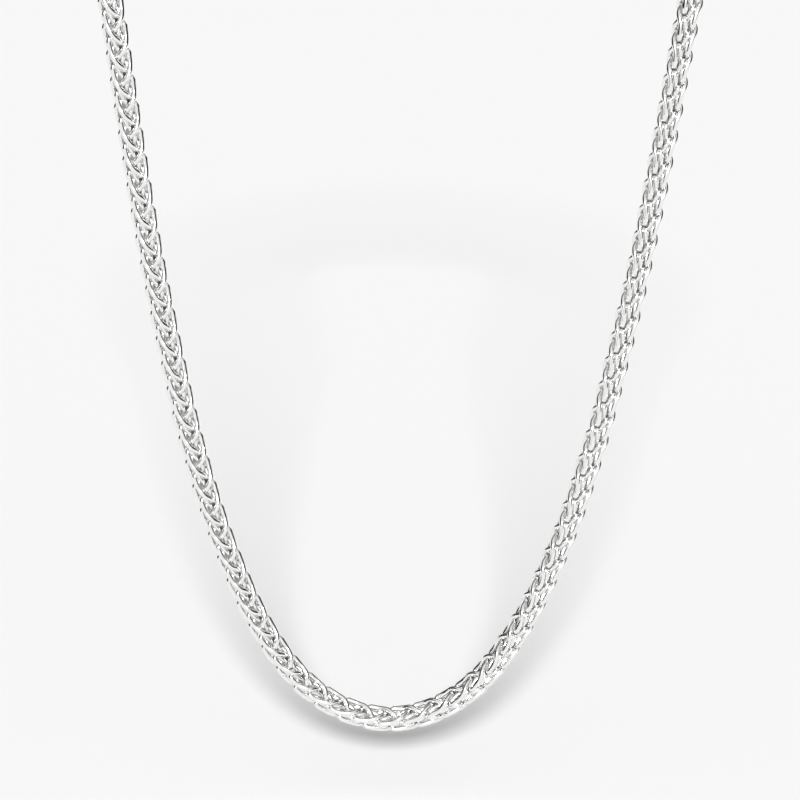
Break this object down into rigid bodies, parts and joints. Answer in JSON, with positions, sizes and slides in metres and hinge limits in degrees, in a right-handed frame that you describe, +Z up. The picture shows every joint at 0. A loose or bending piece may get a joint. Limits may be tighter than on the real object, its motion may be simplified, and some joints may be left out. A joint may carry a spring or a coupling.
{
  "type": "wheat chain necklace",
  "caption": "Polished silver wheat chain necklace: a closed loop of interlocking folded links with a plain barrel clasp at the nape, held in its hanging, worn shape.",
  "frame": {"origin": "the middle of the clasp's inner side, where the necklace rests against the nape", "axes": "+Z is up as worn, -Y runs from the nape towards the front of the neck, and X runs along the clasp, with the wearer's left side at +X"},
  "size_m": [0.1012, 0.1019, 0.1468],
  "materials": {
    "chain_silver": "bright polished silver wire with faint drawing and polishing marks",
    "clasp_silver": "bright polished silver with fine turning and handling marks"
  },
  "bodies": {
    "root": {"chain_left": "chain_silver", "chain_right": "chain_silver", "clasp": "clasp_silver"}
  },
  "joints": []
}
